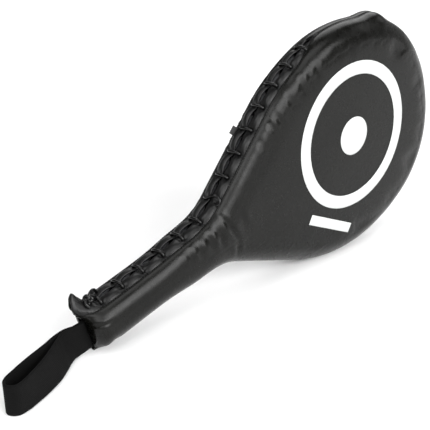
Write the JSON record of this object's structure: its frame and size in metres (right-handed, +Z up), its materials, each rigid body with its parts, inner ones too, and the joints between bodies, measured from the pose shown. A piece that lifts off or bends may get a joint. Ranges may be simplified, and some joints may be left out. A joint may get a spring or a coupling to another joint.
{
  "type": "kick paddle",
  "caption": "Hand-held padded kick target: teardrop blade in a laced leather cover over foam and a core board, with a round handle and a wrist strap.",
  "frame": {"origin": "on the floor plane, under the middle of the object's bounding box, as the paddle stands on its unlaced edge", "axes": "+X from the wrist strap towards the blade's tip along the line where the paddle meets the floor, -Y out of the printed face, +Z up towards the laced edge"},
  "size_m": [0.4728, 0.0546, 0.2106],
  "materials": {
    "cover_leather": "semi-gloss grained black imitation leather",
    "tongue_leather": "matt black under-flap",
    "lace_cord": "glossy round black lace",
    "black_thread": "twisted black sewing thread",
    "core_plastic": "stiff pressed board",
    "handle_wood": "plain sanded wood",
    "steel": "zinc plated",
    "foam": "closed-cell foam",
    "strap_webbing": "flat woven black webbing",
    "label_fabric": "blank woven label",
    "white_print": "flat white ink print"
  },
  "bodies": {
    "paddle": {"front_cover": "cover_leather", "back_cover": "cover_leather", "front_lacing_strip": "cover_leather", "back_lacing_strip": "cover_leather", "rim_seam_welt": "cover_leather", "front_butt_hem": "cover_leather", "back_butt_hem": "cover_leather", "lacing_tongue": "tongue_leather", "lace": "lace_cord", "lace_knot": "lace_cord", "front_seam_thread": "black_thread", "back_seam_thread": "black_thread", "butt_hem_thread": "black_thread", "strap_tail_stitches": "black_thread", "core_board": "core_plastic", "front_handle_scale": "handle_wood", "back_handle_scale": "handle_wood", "handle_bolts": "steel", "handle_barrel_nuts": "steel", "rivet_washers": "steel", "strap_rivet": "steel", "handle_foam_wrap": "foam", "front_foam_pad": "foam", "back_foam_pad": "foam", "strap_tail": "strap_webbing", "side_label": "label_fabric", "print_ring": "white_print", "print_centre_spot": "white_print", "print_bar": "white_print"},
    "strap": {"wrist_strap": "strap_webbing"}
  },
  "joints": [
    {"name": "strap_swing", "type": "hinge", "parent": "paddle", "child": "strap", "pos_m": [-0.15618, 0.0081, 0.01414], "axis": [-0.0198, 0, 0.9998], "range_deg": [-80, 65]}
  ]
}
